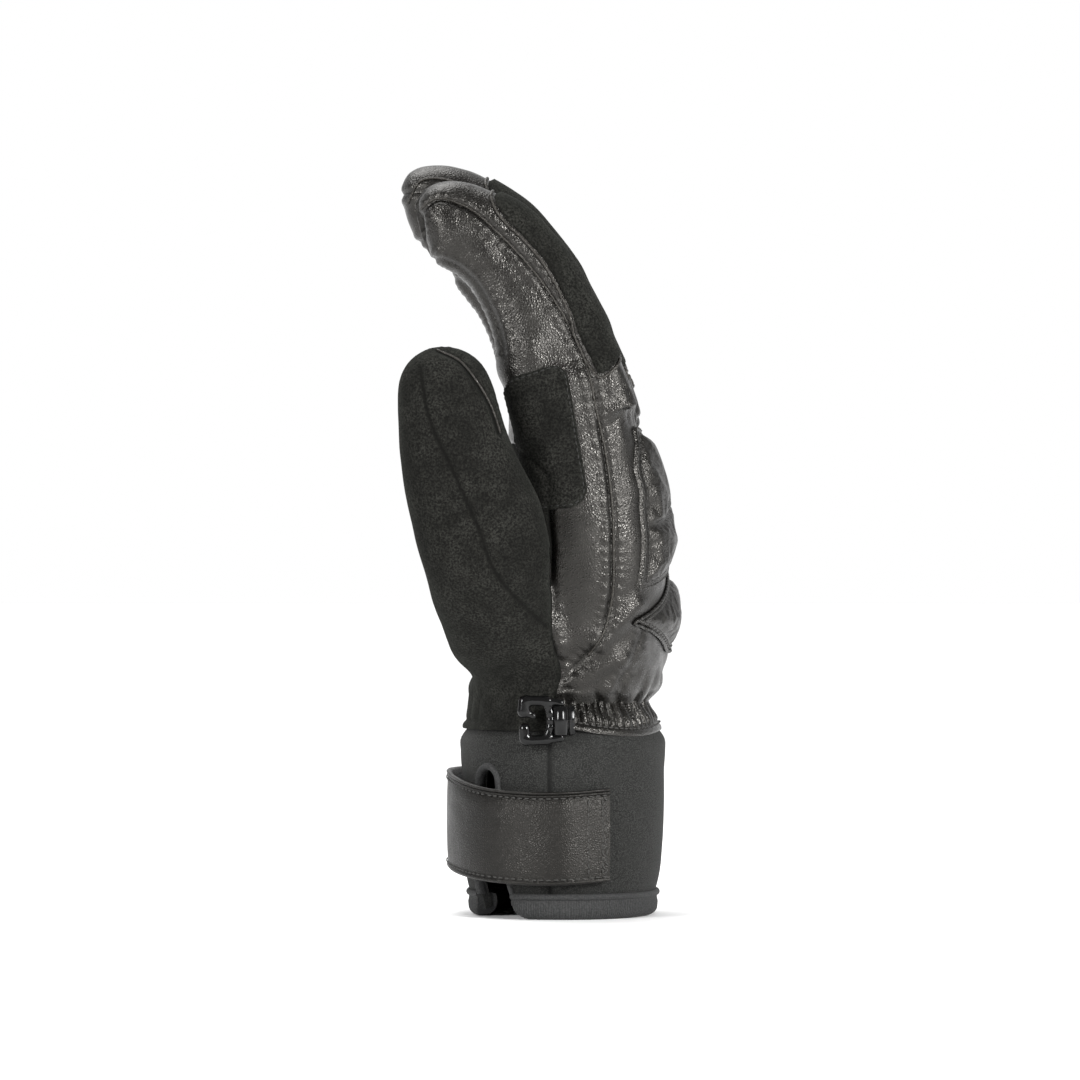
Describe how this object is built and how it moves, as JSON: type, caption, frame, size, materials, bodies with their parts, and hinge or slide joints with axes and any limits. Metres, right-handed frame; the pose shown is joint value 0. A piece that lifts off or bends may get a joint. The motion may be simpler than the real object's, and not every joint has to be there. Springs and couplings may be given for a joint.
{
  "type": "ski glove",
  "caption": "Right-hand leather ski glove with pre-curved padded fingers, suede thumb and grip patches, gathered wrist, neoprene cuff, hook-and-loop strap and a small hanging clip.",
  "frame": {"origin": "centre of the bounding box on the plane that the hem stands on", "axes": "+Z from the hem to the fingertips, +X from the palm to the back of the hand, +Y from the thumb to the little finger"},
  "size_m": [0.099, 0.134, 0.2652],
  "materials": {
    "leather": "semi-gloss grained goat leather",
    "suede": "matte suede",
    "stretch_knuckle": "leather over padding, at full thickness",
    "neoprene": "knit-faced neoprene",
    "binding": "folded woven tape",
    "padding": "synthetic wadding",
    "lining": "brushed fleece",
    "foam": "closed-cell foam",
    "hook_and_loop": "hook-and-loop tape",
    "elastic": "woven elastic",
    "clip_plastic": "gloss black moulded plastic"
  },
  "bodies": {
    "hand": {"palm_panel": "leather", "back_panel": "leather", "hand_padding": "padding", "hand_lining": "lining", "index_grip_patch": "suede", "knuckle_pad": "leather", "knuckle_pad_foam": "foam", "wrist_pad": "leather", "wrist_pad_foam": "foam", "wrist_band": "leather", "wrist_elastic": "elastic", "cuff_back": "neoprene", "cuff_palm": "neoprene", "cuff_binding": "binding", "slit_binding": "binding", "cuff_loop_tape": "hook_and_loop", "strap_anchor": "leather", "clip_webbing": "binding", "index_knuckle_sleeve": "stretch_knuckle", "middle_knuckle_sleeve": "stretch_knuckle", "ring_knuckle_sleeve": "stretch_knuckle", "little_knuckle_sleeve": "stretch_knuckle", "thumb_knuckle_sleeve": "stretch_knuckle"},
    "index": {"index_shell": "leather", "index_padding": "padding", "index_lining": "lining", "index_back_patch": "suede"},
    "middle": {"middle_shell": "leather", "middle_padding": "padding", "middle_lining": "lining", "middle_back_patch": "suede"},
    "ring": {"ring_shell": "leather", "ring_padding": "padding", "ring_lining": "lining", "ring_back_patch": "suede"},
    "little": {"little_shell": "leather", "little_padding": "padding", "little_lining": "lining", "little_back_patch": "suede"},
    "thumb": {"thumb_shell": "suede", "thumb_padding": "padding", "thumb_lining": "lining"},
    "strap_root": {"strap_root": "leather"},
    "strap_tip": {"strap_tip": "leather", "strap_hook_tape": "hook_and_loop"},
    "clip": {"clip_hook": "clip_plastic"}
  },
  "joints": [
    {"name": "index_flex", "type": "hinge", "parent": "hand", "child": "index", "pos_m": [0.00741, -0.02883, 0.19356], "axis": [0, -1, 0], "range_deg": [-8, 26], "stiffness_Nm_per_rad": 0.4, "deforming": ["index_knuckle_sleeve"]},
    {"name": "middle_flex", "type": "hinge", "parent": "hand", "child": "middle", "pos_m": [0.00941, -0.00153, 0.19083], "axis": [0, -1, 0], "range_deg": [-8, 26], "stiffness_Nm_per_rad": 0.4, "deforming": ["middle_knuckle_sleeve"]},
    {"name": "ring_flex", "type": "hinge", "parent": "hand", "child": "ring", "pos_m": [0.00941, 0.02587, 0.18809], "axis": [0, -1, 0], "range_deg": [-8, 26], "stiffness_Nm_per_rad": 0.4, "deforming": ["ring_knuckle_sleeve"]},
    {"name": "little_flex", "type": "hinge", "parent": "hand", "child": "little", "pos_m": [0.00641, 0.05297, 0.18538], "axis": [0, -1, 0], "range_deg": [-8, 26], "stiffness_Nm_per_rad": 0.4, "deforming": ["little_knuckle_sleeve"]},
    {"name": "thumb_flex", "type": "hinge", "parent": "hand", "child": "thumb", "pos_m": [-0.02001, -0.04943, 0.1305], "axis": [0, -1, 0], "range_deg": [-3, 22], "stiffness_Nm_per_rad": 0.4, "deforming": ["thumb_knuckle_sleeve"]},
    {"name": "strap_lift", "type": "hinge", "parent": "hand", "child": "strap_root", "pos_m": [0.01084, -0.04136, 0.0269], "axis": [0, 0, 1], "range_deg": [0, 60]},
    {"name": "strap_open", "type": "hinge", "parent": "strap_root", "child": "strap_tip", "pos_m": [-0.02781, -0.01596, 0.0306], "axis": [0, 0, 1], "range_deg": [0, 75]},
    {"name": "clip_swing", "type": "hinge", "parent": "hand", "child": "clip", "pos_m": [0.00719, -0.03983, 0.07], "axis": [0, 0, 1], "range_deg": [0, 80]}
  ]
}
